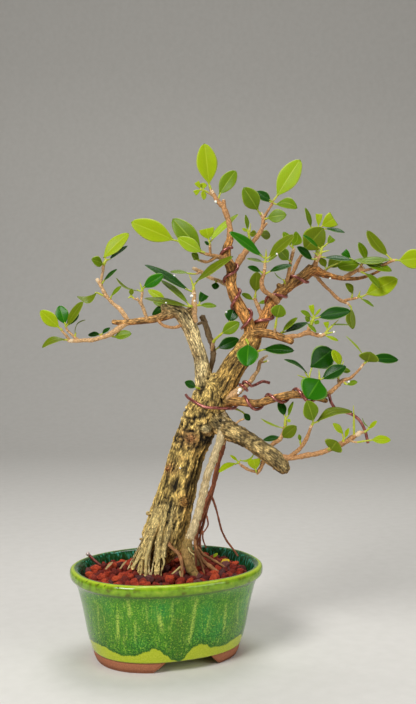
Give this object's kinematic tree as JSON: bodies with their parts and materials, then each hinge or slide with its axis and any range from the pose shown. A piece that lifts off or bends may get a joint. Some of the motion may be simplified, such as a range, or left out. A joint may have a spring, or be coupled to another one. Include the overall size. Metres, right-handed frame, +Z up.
{
  "type": "bonsai tree in a pot",
  "caption": "Small-leaved fig grown as a bonsai with a leaning trunk, training wires and a prop root, standing in red lava grit in a green glazed oval pot.",
  "frame": {"origin": "middle of the whole part at table level, under the tree's and the pot's joint outline", "axes": "+Z up, +X along the pot's long side towards the side that the tree leans to, +Y to the back"},
  "size_m": [0.4138, 0.2506, 0.5792],
  "materials": {
    "pot_glaze": "gloss, mottled green with a lime rim",
    "terracotta": "bare fired clay on the feet",
    "mesh_plastic": "moulded lattice",
    "bark": "rough grey-brown bark with fissures",
    "pale_wood": "pale smooth bark of the prop root and young wood",
    "red_root": "thin red-brown root skin",
    "twig": "young tan bark",
    "foliage": "waxy green leaf",
    "latex": "dried white sap drops",
    "training_wire": "brown anodised wire",
    "potting_soil": "dark crumbly soil",
    "lava_grit": "porous red lava lumps"
  },
  "bodies": {
    "root": {"pot": "pot_glaze", "drain_mesh_left": "mesh_plastic", "drain_mesh_right": "mesh_plastic", "trunk": "bark", "left_fork": "foliage", "left_riser": "foliage", "short_riser": "foliage", "knob_back": "foliage", "pale_stub": "foliage", "high_twig": "foliage", "crown_twig": "foliage", "apex_tip": "foliage", "back_twig": "foliage", "front_twig": "foliage", "middle_twig": "foliage", "rising_left": "foliage", "rising_right": "foliage", "head_twig": "foliage", "head_twig_back": "foliage", "head_twig_right": "foliage", "outer_twig": "foliage", "hang_twig": "foliage", "middle_branch_tip": "foliage", "middle_branch_pair": "foliage", "middle_branch_round": "foliage", "crotch_stem": "foliage", "crotch_behind": "foliage", "neck_leaf": "foliage", "limb_front_leaf": "foliage", "limb_side_leaf": "foliage", "pale_twig": "foliage", "wired_branch_head": "foliage", "wired_branch_tip": "foliage", "wired_branch_under": "foliage", "low_twig_left": "foliage", "low_branch_tip": "foliage", "under_twig": "foliage", "wire_apex": "training_wire", "wire_limb": "training_wire", "wire_trunk": "training_wire", "wire_neck": "training_wire", "tie_wire": "training_wire", "soil": "potting_soil", "lava_grit": "lava_grit"}
  },
  "joints": []
}
